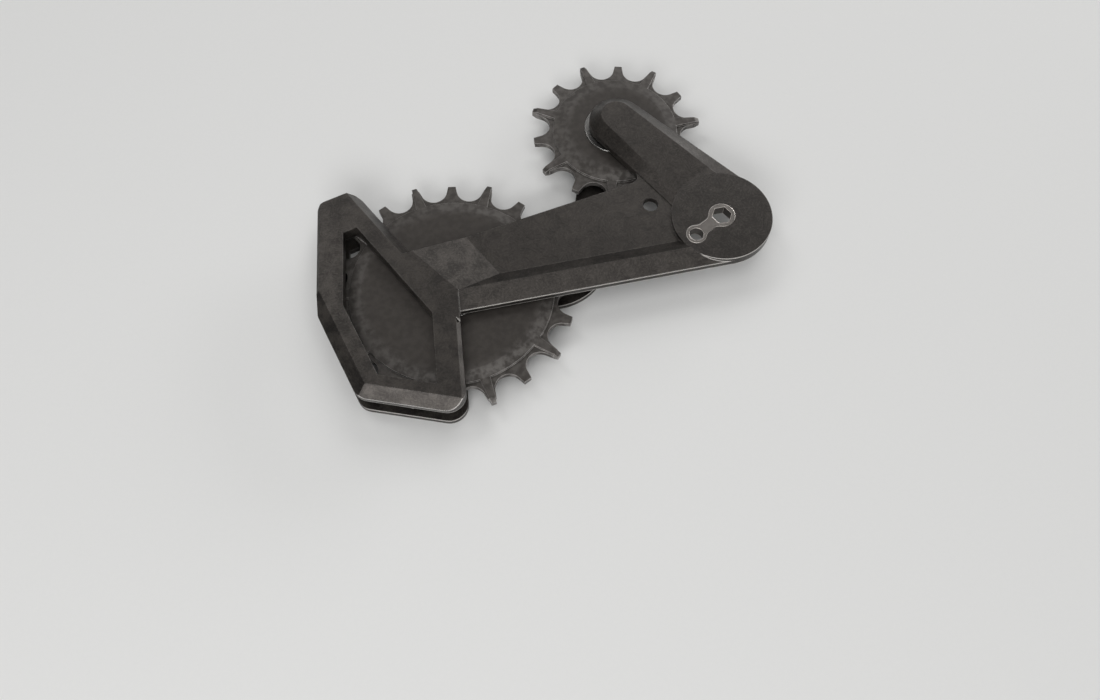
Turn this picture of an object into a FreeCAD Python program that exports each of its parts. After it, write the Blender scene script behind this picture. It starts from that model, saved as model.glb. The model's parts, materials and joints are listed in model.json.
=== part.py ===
import FreeCAD, Part
import math
import os
import re

import Sketcher

# Rear derailleur cage with two large narrow-wide pulleys, lying on its inner plate.
# Origin on the pivot axis at the mounting face of the outer plate, +Z out of that face,
# +X along the lower edge of the long arm, towards the pivot. Millimetres and degrees.

SIZES = {
    # Axle places, from the pivot
    "lower_axle_back": (95.54, "lower axle behind the pivot"),
    "lower_axle_drop": (6.5, "lower axle below the pivot"),
    "upper_axle_back": (26.2, "upper axle behind the pivot"),
    "upper_axle_rise": (46.88, "upper axle above the pivot"),
    # Thicknesses along the axles
    "disc_thickness": (3.8, "outer plate at the pivot disc"),
    "floor_thickness": (2.2, "outer plate at the floor of the long arm"),
    "loop_thickness": (4.8, "outer plate at the bars of the loop"),
    "inner_thickness": (2.2, "inner plate"),
    "chain_gap": (7.4, "clear width between the two plates"),
    # Outer plate
    "pivot_radius": (17.4, "round pivot end, tangent to the lower edge of the arm"),
    "arm_end_radius": (10.0, "round end of the upper arm"),
    "arm_end_ahead": (0.6, "centre of that end, ahead of the upper axle"),
    "arm_end_above": (0.35, "centre of that end, above the upper axle"),
    "root_back": (22.5, "inside corner of the two arms, behind the pivot"),
    "root_rise": (20.91, "inside corner of the two arms, above the pivot"),
    "root_fillet": (3.0, "rounding of that inside corner"),
    "joint_back": (13.75, "end of the arm's upper edge in the loop, behind the lower axle"),
    "joint_rise": (13.27, "end of the arm's upper edge in the loop, above the lower axle"),
    "arm_wall": (0.4, "upright wall of the upper arm above the floor"),
    "crown_height": (4.3, "upper arm's top above the floor at its round end"),
    "crown_right_run": (4.8, "bevel of the upper arm's right side and end, across"),
    "crown_left_run": (4.0, "bevel of the upper arm's left side at the end, across"),
    "crown_heel_run": (4.6, "bevel of the upper arm's left side at the heel, across"),
    "crown_heel": (20.0, "how far the upper arm's left side runs past the inside corner"),
    "rail_band": (6.8, "sloped band from the arm's lower edge to the rail's crest"),
    "rail_run": (4.6, "sloped inner side of the rail"),
    "rail_height": (2.5, "crest of the rail above the floor"),
    "wedge_run": (18.0, "ramp from the loop's diagonal bar down to the floor"),
    "lock_hole_back": (22.51, "plain hole, behind the pivot"),
    "lock_hole_rise": (10.1, "plain hole, above the pivot"),
    "lock_hole_radius": (2.6, "plain hole"),
    "bevel_run": (4.0, "bevel of the loop's lower left and bottom bars, across"),
    "bevel_drop": (3.2, "bevel of the loop's lower left and bottom bars, down"),
    "left_bevel": (1.0, "bevel of the loop's left bar, across and down"),
    "right_bevel": (1.4, "bevel of the loop's right bar, across and down"),
    "diagonal_run": (3.4, "bevel of the loop's diagonal bar, across"),
    "diagonal_drop": (4.4, "bevel of the loop's diagonal bar, down"),
    # Loop window, from the lower axle
    "head_left_back": (32.52, "window corner at the loop's head, left"),
    "head_left_rise": (25.33, "window corner at the loop's head, left"),
    "nose_back": (35.85, "window corner furthest back"),
    "nose_drop": (2.11, "window corner furthest back"),
    "foot_left_back": (28.06, "window corner at the loop's foot, left"),
    "foot_left_drop": (28.97, "window corner at the loop's foot, left"),
    "foot_right_back": (10.19, "window corner at the loop's foot, right"),
    "foot_right_drop": (35.81, "window corner at the loop's foot, right"),
    "crotch_back": (7.71, "window corner below the lower axle"),
    "crotch_drop": (10.75, "window corner below the lower axle"),
    "head_right_back": (27.8, "window corner at the loop's head, right"),
    "head_right_rise": (26.54, "window corner at the loop's head, right"),
    "bar_width": (8.9, "left, lower left, right and diagonal bars of the loop"),
    "foot_width": (7.7, "bottom bar of the loop"),
    "head_width": (14.6, "solid head of the loop"),
    "loop_corner": (4.0, "rounding of the loop's outer corners"),
    "foot_corner": (6.0, "rounding of the outer corners at the loop's foot"),
    # Inner plate
    "inner_end_radius": (10.6, "round end at the upper axle"),
    "elbow_back": (59.8, "centre of the elbow, behind the pivot"),
    "elbow_radius": (20.5, "outer edge of the elbow, tangent to the lower edge"),
    "inner_corner_back": (51.97, "inside corner of the elbow, behind the pivot"),
    "inner_corner_rise": (7.17, "inside corner of the elbow, above the pivot"),
    "inner_corner_fillet": (8.0, "rounding of that inside corner"),
    # Pivot insert
    "hex_flats": (6.0, "hex socket across its flats"),
    "hex_ring_radius": (4.6, "round end of the insert at the hex"),
    "pin_back": (10.55, "spring pin hole, behind the pivot"),
    "pin_drop": (5.6, "spring pin hole, below the pivot"),
    "pin_hole_radius": (2.4, "spring pin hole"),
    "pin_ring_radius": (3.5, "round end of the insert at the pin hole"),
    "neck_width": (4.2, "narrow part of the insert"),
    "neck_fillet": (3.0, "hollow sides of the neck"),
    # Chain wheels
    "chain_pitch": (12.7, "half-inch chain"),
    "upper_tooth_pairs": (7, "narrow and wide tooth pairs of the upper wheel"),
    "lower_tooth_pairs": (10, "narrow and wide tooth pairs of the lower wheel"),
    "upper_phase": (151.2, "turn of the upper wheel at rest"),
    "lower_phase": (134.6, "turn of the lower wheel at rest"),
    "seat_radius": (4.6, "roller seat between two teeth"),
    "wide_tip": (2.9, "wide tooth above the pitch circle"),
    "narrow_tip": (1.3, "narrow tooth above the pitch circle"),
    "tip_land": (1.7, "width of a wide tooth at its tip"),
    "wide_root": (3.9, "width of a wide tooth at the disc's edge"),
    "tooth_ledge": (0.2, "narrow rim beside a wide tooth's tip"),
    "tip_bevel": (0.8, "bevel of a wide tooth's tip, down each side"),
    "wide_thickness": (3.6, "wide tooth"),
    "narrow_thickness": (2.0, "narrow tooth"),
    "web_thickness": (5.2, "disc of the wheel"),
    "rim_land": (1.3, "rim between the roller seats and the disc's edge"),
    "rim_slope": (4.0, "sloped ring from the disc's edge up to the disc"),
    # Ball bearings
    "bearing_bore": (10.0, "bearing, inside"),
    "bearing_outside": (22.0, "bearing, outside"),
    "bearing_width": (6.0, "bearing, along the axle"),
    "race_wall": (2.0, "each race, without its groove"),
    "ball_diameter": (3.0, "bearing ball"),
    "ball_count": (7, "balls in one bearing"),
    "ball_play": (0.05, "clearance round a ball"),
    "cage_wall": (1.1, "ball cage, across"),
    "cage_width": (3.8, "ball cage, along the axle"),
    "seal_thickness": (0.35, "bearing seal"),
    "seal_inset": (0.25, "seal below the bearing's face"),
    "seal_play": (0.1, "seal lip to the inner race"),
    # Axle hardware
    "bolt_radius": (2.5, "pulley bolt"),
    "bolt_head_radius": (4.6, "countersunk head"),
    "bolt_socket": (3.0, "hex socket of the bolt, across its flats"),
    "socket_depth": (1.5, "hex socket of the bolt"),
    "sleeve_play": (0.1, "bolt in its sleeve and in the inner plate"),
    "insert_radius": (3.75, "threaded insert in the outer plate"),
    "insert_length": (3.0, "threaded insert in the outer plate"),
    "insert_groove": (0.4, "depth of the insert's locking groove"),
    "bolt_recess": (0.25, "bolt's end inside the insert's end"),
    "washer_rim": (1.8, "spacer washer, across its ring"),
    "seat_fit": (0.02, "gap of a pressed or bonded seat"),
}

# How far two places may lie apart and still be taken as one
SAME_PLACE = 0.05
SAME_LINE = 1e-4

# Heights, as formulas of the sizes
OUTER_BACK = "-disc_thickness"
FLOOR = "floor_thickness - disc_thickness"
WHEEL_MID = "-disc_thickness - chain_gap / 2"
INNER_FACE = "-disc_thickness - chain_gap"
REST = "-disc_thickness - chain_gap - inner_thickness"

doc = FreeCAD.newDocument("rear_derailleur_cage")
sheet = doc.addObject("Spreadsheet::Sheet", "Sizes")
for row, (alias, (size, note)) in enumerate(SIZES.items(), 1):
    sheet.set(f"A{row}", note)
    sheet.set(f"B{row}", str(size))
    sheet.setAlias(f"B{row}", alias)
doc.recompute()


def formula(text):
    """Points the size names of a formula at the sheet."""
    return re.sub(r"\b[a-z]+_\w+\b", r"Sizes.\g<0>", text)


def number(text):
    """Present value of a formula."""
    found = sheet.evalExpression(formula(text))
    return float(getattr(found, "Value", found))


def bind(thing, path, text):
    """Ties a property to a formula of the sizes."""
    thing.setExpression(path, formula(text))


def new_body(label, x="0", y="0", z="0", turn=None):
    """Empty body whose own origin stands at x, y, z, turned about Z."""
    body = doc.addObject("PartDesign::Body", label)
    body.Label = label
    if turn:
        body.Placement = FreeCAD.Placement(FreeCAD.Vector(), FreeCAD.Rotation(FreeCAD.Vector(0, 0, 1), 1))
        bind(body, "Placement.Rotation.Angle", turn)
    for letter, place in zip("xyz", (x, y, z)):
        bind(body, f"Placement.Base.{letter}", place)
    return body


def origin_part(body, role):
    """Origin plane or axis of a body."""
    return next(part for part in body.Origin.OriginFeatures if part.Role == role)


def new_sketch(body, name, level="0", plane="XY_Plane"):
    """Sketch on an origin plane of its body, raised to a level along the plane's normal."""
    sketch = body.newObject("Sketcher::SketchObject", name)
    sketch.AttachmentSupport = (origin_part(body, plane), [""])
    sketch.MapMode = "FlatFace"
    bind(sketch, "AttachmentOffset.Base.z", level)
    return sketch


def hold(sketch, kind, first, place, text):
    """Holds one coordinate of a sketch point at a formula."""
    axis = {"DistanceX": -2, "DistanceY": -1}[kind]
    if text == "0":
        sketch.addConstraint(Sketcher.Constraint("PointOnObject", first, place, axis))
        return
    index = sketch.addConstraint(Sketcher.Constraint(kind, -1, 1, first, place, number(text)))
    bind(sketch, f"Constraints[{index}]", text)


def hold_point(sketch, first, place, x, y):
    """Holds a sketch point at two formulas."""
    hold(sketch, "DistanceX", first, place, x)
    hold(sketch, "DistanceY", first, place, y)


def hold_radius(sketch, first, text):
    """Holds the radius of a circle or an arc."""
    index = sketch.addConstraint(Sketcher.Constraint("Radius", first, number(text)))
    bind(sketch, f"Constraints[{index}]", text)


def draw_circle(sketch, x, y, radius):
    """Circle about a point."""
    centre = FreeCAD.Vector(number(x), number(y), 0)
    first = sketch.addGeometry(Part.Circle(centre, FreeCAD.Vector(0, 0, 1), number(radius)))
    hold_point(sketch, first, 3, x, y)
    hold_radius(sketch, first, radius)


def outward(start, end):
    """Outward normal of the straight run between two stations of a counterclockwise outline."""
    way = end[0] - start[0]
    lean = (start[1] - end[1]) / way.Length
    way.normalize()
    across = FreeCAD.Vector(way.y, -way.x, 0)
    return way * lean + across * math.sqrt(1 - lean * lean)


def draw_outline(sketch, stations):
    """Closed counterclockwise outline: a station (x, y) is a corner, (x, y, r) a tangent arc about x, y."""
    places = []
    for station in stations:
        centre = FreeCAD.Vector(number(station[0]), number(station[1]), 0)
        rounded = len(station) > 2 and station[2]
        places.append((centre, number(station[2]) if rounded else 0))
    count = len(places)
    normals = [outward(places[i], places[(i + 1) % count]) for i in range(count)]
    lines = []
    for i, normal in enumerate(normals):
        (start, start_radius), (end, end_radius) = places[i], places[(i + 1) % count]
        run = Part.LineSegment(start + normal * start_radius, end + normal * end_radius)
        lines.append(sketch.addGeometry(run))
    for i, station in enumerate(stations):
        into, out_of = lines[i - 1], lines[i]
        if len(station) == 2 or station[2] is None:
            sketch.addConstraint(Sketcher.Constraint("Coincident", into, 2, out_of, 1))
            if len(station) == 2:
                hold_point(sketch, out_of, 1, *station)
            continue
        centre, radius = places[i]
        turns = [math.atan2(normals[j].y, normals[j].x) for j in (i - 1, i)]
        circle = Part.Circle(centre, FreeCAD.Vector(0, 0, 1), radius)
        arc = sketch.addGeometry(Part.ArcOfCircle(circle, *turns))
        sketch.addConstraint(Sketcher.Constraint("Tangent", into, 2, arc, 1))
        sketch.addConstraint(Sketcher.Constraint("Tangent", arc, 2, out_of, 1))
        hold_point(sketch, arc, 3, station[0], station[1])
        hold_radius(sketch, arc, station[2])
    return lines


def extrude(body, kind, sketch, length, reverse=False):
    """Pad or Pocket of a sketch over a length."""
    feature = body.newObject(f"PartDesign::{kind}", f"{sketch.Name}_{kind.lower()}")
    feature.Profile = sketch
    bind(feature, "Length", length)
    feature.Reversed = reverse
    return feature


def revolve(body, kind, sketch):
    """Revolution or Groove of a sketch about the body's Z axis."""
    feature = body.newObject(f"PartDesign::{kind}", f"{sketch.Name}_{kind.lower()}")
    feature.Profile = sketch
    feature.ReferenceAxis = (sketch, ["V_Axis"])
    feature.Angle = 360
    return feature


def repeat(body, features, count):
    """Copies of features round the body's Z axis."""
    pattern = body.newObject("PartDesign::PolarPattern", f"{features[0].Name}_round")
    pattern.Originals = features
    pattern.Axis = (origin_part(body, "Z_Axis"), [""])
    pattern.Angle = 360
    bind(pattern, "Occurrences", count)
    body.Tip = pattern
    return pattern


def turned(label, corners, **place):
    """Turned piece: its half section as corners (radius, height), revolved about Z."""
    body = new_body(label, **place)
    sketch = new_sketch(body, f"{label}_section", plane="XZ_Plane")
    draw_outline(sketch, corners)
    revolve(body, "Revolution", sketch)
    return body


def ring(inner, outer, bottom, top):
    """Rectangular half section of a ring."""
    return [(inner, bottom), (outer, bottom), (outer, top), (inner, top)]


def upright_edges(body, x, y):
    """Names of a body's upright edges nearest to a point, all those that stand over it."""
    found = []
    for index, edge in enumerate(body.Tip.Shape.Edges, 1):
        ends = [vertex.Point for vertex in edge.Vertexes]
        upright = len(ends) == 2 and (ends[0] - ends[1]).cross(FreeCAD.Vector(0, 0, 1)).Length < SAME_LINE
        if upright and math.hypot(ends[0].x - number(x), ends[0].y - number(y)) < SAME_PLACE:
            found.append(f"Edge{index}")
    return found


def dress(body, kind, edges, **sizes):
    """Fillet or Chamfer of named edges of the body's last feature."""
    base = body.Tip
    feature = body.newObject(f"PartDesign::{kind}", f"{body.Name}_{kind.lower()}")
    feature.Base = (base, edges)
    for path, text in sizes.items():
        bind(feature, path, text)
    doc.recompute()
    return feature


def hexagon(flats):
    """Corners of a hexagon about the body's origin, across its flats."""
    corners = []
    for step in range(6):
        turn = 60 * step
        corners.append((f"{flats} / sqrt(3) * cos({turn})", f"{flats} / sqrt(3) * sin({turn})"))
    return corners


def from_lower(back, rise):
    """Place given from the lower axle, backwards and upwards."""
    return f"-lower_axle_back - {back}", f"-lower_axle_drop + {rise}"


WINDOW = [
    from_lower("head_left_back", "head_left_rise"),
    from_lower("nose_back", "-nose_drop"),
    from_lower("foot_left_back", "-foot_left_drop"),
    from_lower("foot_right_back", "-foot_right_drop"),
    from_lower("crotch_back", "-crotch_drop"),
    from_lower("head_right_back", "head_right_rise"),
]
BAR_WIDTHS = ["bar_width", "bar_width", "foot_width", "bar_width", "bar_width", "head_width"]
LOOP_BEVELS = {
    "left": (0, "left_bevel", "left_bevel"),
    "lower_left": (1, "bevel_run", "bevel_drop"),
    "foot": (2, "bevel_run", "bevel_drop"),
    "right": (3, "right_bevel", "right_bevel"),
    "diagonal": (4, "diagonal_run", "diagonal_drop"),
}
LOOP_CORNERS = (0, 1, 5)
FOOT_CORNERS = (2, 3)
UPPER_AXLE = ("-upper_axle_back", "upper_axle_rise")
LOWER_AXLE = ("-lower_axle_back", "-lower_axle_drop")
ROOT = ("-root_back", "root_rise")
ARM_BACK = "(upper_axle_back - arm_end_ahead)"
ARM_RISE = "(upper_axle_rise + arm_end_above)"
REACH = f"sqrt({ARM_BACK}^2 + {ARM_RISE}^2)"
RAMP = f"atan((crown_height + floor_thickness - disc_thickness) / ({REACH} - pivot_radius))"
RAMP_FOOT = (f"-pivot_radius * {ARM_BACK} / {REACH}", f"pivot_radius * {ARM_RISE} / {REACH}")
LEAN = f"((pivot_radius - arm_end_radius) / {REACH})"
SQUARE = f"sqrt(1 - {LEAN}^2)"


def draw_loop(sketch):
    """Hexagonal loop: its window, and outer sides parallel to the window's at the bar widths."""
    sides = draw_outline(sketch, WINDOW)
    points = [FreeCAD.Vector(number(x), number(y), 0) for x, y in WINDOW]
    count = len(points)
    offsets = []
    for i, width in enumerate(BAR_WIDTHS):
        normal = outward((points[i], 0), (points[(i + 1) % count], 0))
        offsets.append((points[i] + normal * number(width), points[(i + 1) % count] - points[i]))
    corners = []
    for i, (start, way) in enumerate(offsets):
        before, before_way = offsets[i - 1]
        along = (start - before).cross(way).z / before_way.cross(way).z
        corners.append(before + before_way * along)
    outer = [sketch.addGeometry(Part.LineSegment(corners[i], corners[(i + 1) % count])) for i in range(count)]
    for i, width in enumerate(BAR_WIDTHS):
        sketch.addConstraint(Sketcher.Constraint("Coincident", outer[i - 1], 2, outer[i], 1))
        sketch.addConstraint(Sketcher.Constraint("Parallel", sides[i], outer[i]))
        index = sketch.addConstraint(Sketcher.Constraint("Distance", outer[i], 1, sides[i], number(width)))
        bind(sketch, f"Constraints[{index}]", width)
    return corners


def primitive(body, kind, name, place, **sizes):
    """Additive or subtractive primitive of a body, at a place."""
    feature = body.newObject(f"PartDesign::{kind}", name)
    for path, text in sizes.items():
        bind(feature, path, text)
    for letter, text in zip("xyz", place):
        bind(feature, f"Placement.Base.{letter}", text)
    return feature


# The diagonal bar of the loop: distances along and across it, from the window's corner below the axle
DIAGONAL = "sqrt((head_right_back - crotch_back)^2 + (head_right_rise + crotch_drop)^2)"
ALONG_X = f"((crotch_back - head_right_back) / {DIAGONAL})"
ALONG_Y = f"((head_right_rise + crotch_drop) / {DIAGONAL})"
EDGE_SLOPE = "((root_rise + lower_axle_drop - joint_rise) / (lower_axle_back + joint_back - root_back))"

# The right bar of the loop: its direction, from the foot up
RIGHT = "sqrt((foot_right_back - crotch_back)^2 + (foot_right_drop - crotch_drop)^2)"
RIGHT_X = f"((foot_right_back - crotch_back) / {RIGHT})"
RIGHT_Y = f"((foot_right_drop - crotch_drop) / {RIGHT})"
CREST = "(rail_band - pivot_radius)"


def at_right(level):
    """Place on the outer side of the loop's right bar, carried on up, at a level across the arm."""
    along = f"(({level} + lower_axle_drop + crotch_drop + bar_width * {RIGHT_X}) / {RIGHT_Y})"
    return f"-lower_axle_back - crotch_back + bar_width * {RIGHT_Y} + {along} * {RIGHT_X}", level


def off_diagonal(across, along):
    """Place beside the loop's diagonal bar."""
    x = f"-lower_axle_back - crotch_back + {across} * {ALONG_Y} + {along} * {ALONG_X}"
    y = f"-lower_axle_drop - crotch_drop - {across} * {ALONG_X} + {along} * {ALONG_Y}"
    return x, y


def at_crest(across):
    """Place beside the diagonal bar on the crest line of the rail."""
    start_y = off_diagonal(across, "0")[1]
    return off_diagonal(across, f"(({CREST} - ({start_y})) / {ALONG_Y})")


def at_arm_edge(across):
    """Place beside the diagonal bar on the upper edge of the long arm."""
    start_x, start_y = off_diagonal(across, "0")
    edge_y = f"(joint_rise - lower_axle_drop + {EDGE_SLOPE} * ({start_x} + lower_axle_back + joint_back))"
    return off_diagonal(across, f"(({edge_y} - ({start_y})) / ({ALONG_Y} - {EDGE_SLOPE} * {ALONG_X}))")


def arm_toe(inset):
    """End of the upper arm's right side at the pivot disc, moved in from the edge."""
    x = f"(pivot_radius - {inset}) * ({ARM_RISE} * {SQUARE} - {ARM_BACK} * {LEAN}) / {REACH}"
    y = f"(pivot_radius - {inset}) * ({ARM_BACK} * {SQUARE} + {ARM_RISE} * {LEAN}) / {REACH}"
    return x, y


def arm_end(left, right):
    """Round end of the upper arm, moved in from its left and right sides."""
    shift = f"(({right} - {left}) / 2 / {REACH})"
    x = f"-{ARM_BACK} - {shift} * {ARM_RISE}"
    y = f"{ARM_RISE} - {shift} * {ARM_BACK}"
    return x, y, f"arm_end_radius - ({left} + {right}) / 2"


def arm_heel(end, inset):
    """End of the upper arm's left side past the inside corner, moved in from the edge."""
    away = f"({end[0]} + root_back)"
    rise = f"({end[1]} - root_rise)"
    lean = f"(atan2({rise}; {away}) + asin(({end[2]}) / sqrt({away}^2 + {rise}^2)))"
    x = f"-root_back - crown_heel * cos({lean}) + {inset} * sin({lean})"
    y = f"root_rise - crown_heel * sin({lean}) - {inset} * cos({lean})"
    return x, y


def join(body, name, sketches):
    """Straight-sided loft through sketches, from the lowest up."""
    loft = body.newObject("PartDesign::AdditiveLoft", name)
    loft.Profile = sketches[0]
    loft.Sections = sketches[1:]
    loft.Ruled = True
    return loft


def add_arms(body):
    """Flat floor of both arms."""
    sketch = new_sketch(body, "arms", OUTER_BACK)
    draw_outline(sketch, [
        arm_toe("0"),
        arm_end("0", "0"),
        ROOT,
        from_lower("joint_back", "joint_rise"),
        ("-lower_axle_back", "-pivot_radius"),
        ("0", "-pivot_radius"),
    ])
    extrude(body, "Pad", sketch, "floor_thickness")
    doc.recompute()
    dress(body, "Fillet", upright_edges(body, *ROOT), Radius="root_fillet")


def add_crown(body):
    """Upper arm: a bar over the floor, bevelled on both sides, its top rising from the pivot disc."""
    base_end = arm_end("0", "0")
    outlines = []
    for index, height in enumerate(("0", "arm_wall")):
        outlines.append(new_sketch(body, f"crown_{index}", f"{FLOOR} + {height}"))
        draw_outline(outlines[-1], [arm_toe("0"), base_end, arm_heel(base_end, "0")])

    top = new_sketch(body, "crown_top")
    across = FreeCAD.Vector(number(ARM_RISE), number(ARM_BACK), 0)
    top.AttachmentOffset = FreeCAD.Placement(FreeCAD.Vector(), FreeCAD.Rotation(across, 1))
    bind(top, "AttachmentOffset.Rotation.Angle", RAMP)
    for letter, place in zip("xy", RAMP_FOOT):
        bind(top, f"AttachmentOffset.Base.{letter}", place)
    stations = [
        arm_toe("crown_right_run"),
        arm_end("crown_left_run", "crown_right_run"),
        arm_heel(base_end, "crown_heel_run"),
    ]
    from_foot = []
    for x, y, *radius in stations:
        from_foot.append((f"{x} - ({RAMP_FOOT[0]})", f"{y} - ({RAMP_FOOT[1]})", *radius))
    draw_outline(top, from_foot)
    join(body, "crown", [*outlines, top])


def add_disc(body):
    """Round pivot disc, and its flat shoulder up to the foot of the upper arm's rising top."""
    sketch = new_sketch(body, "pivot_disc", OUTER_BACK)
    draw_circle(sketch, "0", "0", "pivot_radius")
    extrude(body, "Pad", sketch, "disc_thickness")
    aside = f"((pivot_radius - crown_right_run - pivot_radius * {LEAN}) / {SQUARE} / {REACH})"
    crest = (f"{RAMP_FOOT[0]} + {aside} * {ARM_RISE}", f"{RAMP_FOOT[1]} + {aside} * {ARM_BACK}")
    sketch = new_sketch(body, "shoulder", OUTER_BACK)
    draw_outline(sketch, [("0", "0"), arm_toe("crown_right_run"), crest, RAMP_FOOT])
    extrude(body, "Pad", sketch, "disc_thickness")


def add_rail(body):
    """Rail along the lower edge of the long arm: a sloped band up to a crest, and a sloped inner side."""
    start = "lower_axle_back + insert_radius"
    sketch = new_sketch(body, "rail", f"-({start})", plane="YZ_Plane")
    draw_outline(sketch, [
        ("-pivot_radius", FLOOR),
        ("rail_band + rail_run - pivot_radius", FLOOR),
        (CREST, f"{FLOOR} + rail_height"),
    ])
    extrude(body, "Pad", sketch, start)
    face = new_sketch(body, "pivot_face", "0")
    draw_circle(face, "0", "0", "pivot_radius")
    extrude(body, "Pocket", face, "2 * crown_height", reverse=True)


def add_wedge(body):
    """Ramp from the loop's diagonal bar down to the floor of the long arm, over the lower axle."""
    inside, foot = "bar_width / 2", "(bar_width + wedge_run)"
    levels = (
        (FLOOR, at_crest(foot), at_arm_edge(foot)),
        ("loop_thickness - disc_thickness", at_right(CREST), at_arm_edge("bar_width")),
    )
    outlines = []
    for index, (level, low_end, high_end) in enumerate(levels):
        outlines.append(new_sketch(body, f"wedge_{index}", level))
        draw_outline(outlines[-1], [at_crest(inside), low_end, high_end, at_arm_edge(inside)])
    join(body, "wedge", outlines)


def add_corner(body):
    """Top of the loop's right bar, level with the loop, where it runs into the crest of the rail."""
    inside = "bar_width / 2"
    sketch = new_sketch(body, "bar_corner", OUTER_BACK)
    edge = at_right(f"(-pivot_radius - {inside})")
    draw_outline(sketch, [at_crest(inside), off_diagonal(inside, "0"), edge, at_right(CREST)])
    extrude(body, "Pad", sketch, "loop_thickness")


def add_loop(body, level, thickness):
    """Hexagonal loop of a plate, with rounded outer corners."""
    sketch = new_sketch(body, "loop", level)
    corners = draw_loop(sketch)
    extrude(body, "Pad", sketch, thickness)
    doc.recompute()
    for radius, chosen in (("loop_corner", LOOP_CORNERS), ("foot_corner", FOOT_CORNERS)):
        edges = []
        for i in chosen:
            edges += upright_edges(body, str(corners[i].x), str(corners[i].y))
        dress(body, "Fillet", edges, Radius=radius)


def bevel_loop(body):
    """Bevels of the loop's outer edge along its bars."""
    for name, (side, run, drop) in LOOP_BEVELS.items():
        start, end = WINDOW[side], WINDOW[(side + 1) % len(WINDOW)]
        length = f"sqrt(({end[0]} - ({start[0]}))^2 + ({end[1]} - ({start[1]}))^2)"
        along = (f"(({end[0]} - ({start[0]})) / {length})", f"(({end[1]} - ({start[1]})) / {length})")
        near = f"({BAR_WIDTHS[side]} - {run})"
        far = f"({BAR_WIDTHS[side]} + 2 * {run})"
        overrun = "head_width"
        corners = []
        for base, sign, across in ((start, "-", near), (start, "-", far), (end, "+", far), (end, "+", near)):
            x = f"{base[0]} {sign} {overrun} * {along[0]} + {across} * {along[1]}"
            y = f"{base[1]} {sign} {overrun} * {along[1]} - {across} * {along[0]}"
            corners.append((x, y))
        sketch = new_sketch(body, f"{name}_bevel", "loop_thickness - disc_thickness")
        draw_outline(sketch, corners)
        cut = extrude(body, "Pocket", sketch, drop)
        bind(cut, "TaperAngle", f"-atan({run} / {drop})")


def add_dogbone(body, margin):
    """Flat dogbone from the hex end to the pin end, grown by a margin."""
    for name, place in (("hex", ("0", "0")), ("pin", ("-pin_back", "-pin_drop"))):
        sketch = new_sketch(body, f"{body.Name}_{name}_end", OUTER_BACK)
        draw_circle(sketch, *place, f"{name}_ring_radius + {margin}")
        extrude(body, "Pad", sketch, "disc_thickness")
    length = "sqrt(pin_back^2 + pin_drop^2)"
    half = f"(neck_width / 2 + {margin})"
    side_x = f"{half} * pin_drop / {length}"
    side_y = f"{half} * pin_back / {length}"
    neck = new_sketch(body, f"{body.Name}_neck", OUTER_BACK)
    draw_outline(neck, [
        (side_x, f"-{side_y}"),
        (f"-({side_x})", side_y),
        (f"-pin_back - {side_x}", f"{side_y} - pin_drop"),
        (f"{side_x} - pin_back", f"-pin_drop - {side_y}"),
    ])
    extrude(body, "Pad", neck, "disc_thickness")
    doc.recompute()
    edges = []
    for index, edge in enumerate(body.Tip.Shape.Edges, 1):
        ends = [vertex.Point for vertex in edge.Vertexes]
        if len(ends) == 2 and abs(abs(ends[0].z - ends[1].z) - number("disc_thickness")) < SAME_LINE:
            edges.append(f"Edge{index}")
    dress(body, "Fillet", edges, Radius=f"neck_fillet - {margin}")


def make_outer_plate():
    """Moulded outer plate: arms, pivot disc, faceted rail and the hexagonal loop."""
    body = new_body("outer_cage_plate")
    add_loop(body, OUTER_BACK, "loop_thickness")
    bevel_loop(body)
    add_arms(body)
    add_crown(body)
    add_disc(body)
    add_rail(body)
    add_wedge(body)
    add_corner(body)
    for name, place in (("upper", UPPER_AXLE), ("lower", LOWER_AXLE)):
        sketch = new_sketch(body, f"{name}_insert_seat", OUTER_BACK)
        draw_circle(sketch, *place, "insert_radius + seat_fit")
        extrude(body, "Pocket", sketch, "insert_length + seat_fit", reverse=True)
    sketch = new_sketch(body, "lock_hole", OUTER_BACK)
    draw_circle(sketch, "-lock_hole_back", "lock_hole_rise", "lock_hole_radius")
    extrude(body, "Pocket", sketch, "disc_thickness + crown_height", reverse=True)
    tool = new_body("pivot_seat")
    add_dogbone(tool, "seat_fit")
    seat = body.newObject("PartDesign::Boolean", "pivot_seat_cut")
    seat.Type = "Cut"
    seat.setObjects([tool])
    doc.recompute()
    return body


def make_inner_plate():
    """Flat inner plate: elbowed arm between the two axles, and the hexagonal loop."""
    body = new_body("inner_cage_plate")
    corner = ("-inner_corner_back", "inner_corner_rise")
    elbow = ("-elbow_back", "elbow_radius - pivot_radius", "elbow_radius")
    upper_end = (*UPPER_AXLE, "inner_end_radius")
    joint = from_lower("joint_back", "joint_rise")
    sketch = new_sketch(body, "inner_arm", REST)
    draw_outline(sketch, [elbow, upper_end, corner, joint, ("-lower_axle_back", "-pivot_radius")])
    extrude(body, "Pad", sketch, "inner_thickness")
    doc.recompute()
    dress(body, "Fillet", upright_edges(body, *corner), Radius="inner_corner_fillet")
    add_loop(body, REST, "inner_thickness")
    for name, place in (("upper", UPPER_AXLE), ("lower", LOWER_AXLE)):
        primitive(body, "SubtractiveCylinder", f"{name}_bolt_hole", (*place, REST),
                  Radius="bolt_radius + sleeve_play", Height="inner_thickness")
        primitive(body, "SubtractiveCone", f"{name}_countersink", (*place, REST),
                  Radius1="bolt_head_radius + sleeve_play", Radius2="bolt_radius + sleeve_play",
                  Height="bolt_head_radius - bolt_radius")
    return body


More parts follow.
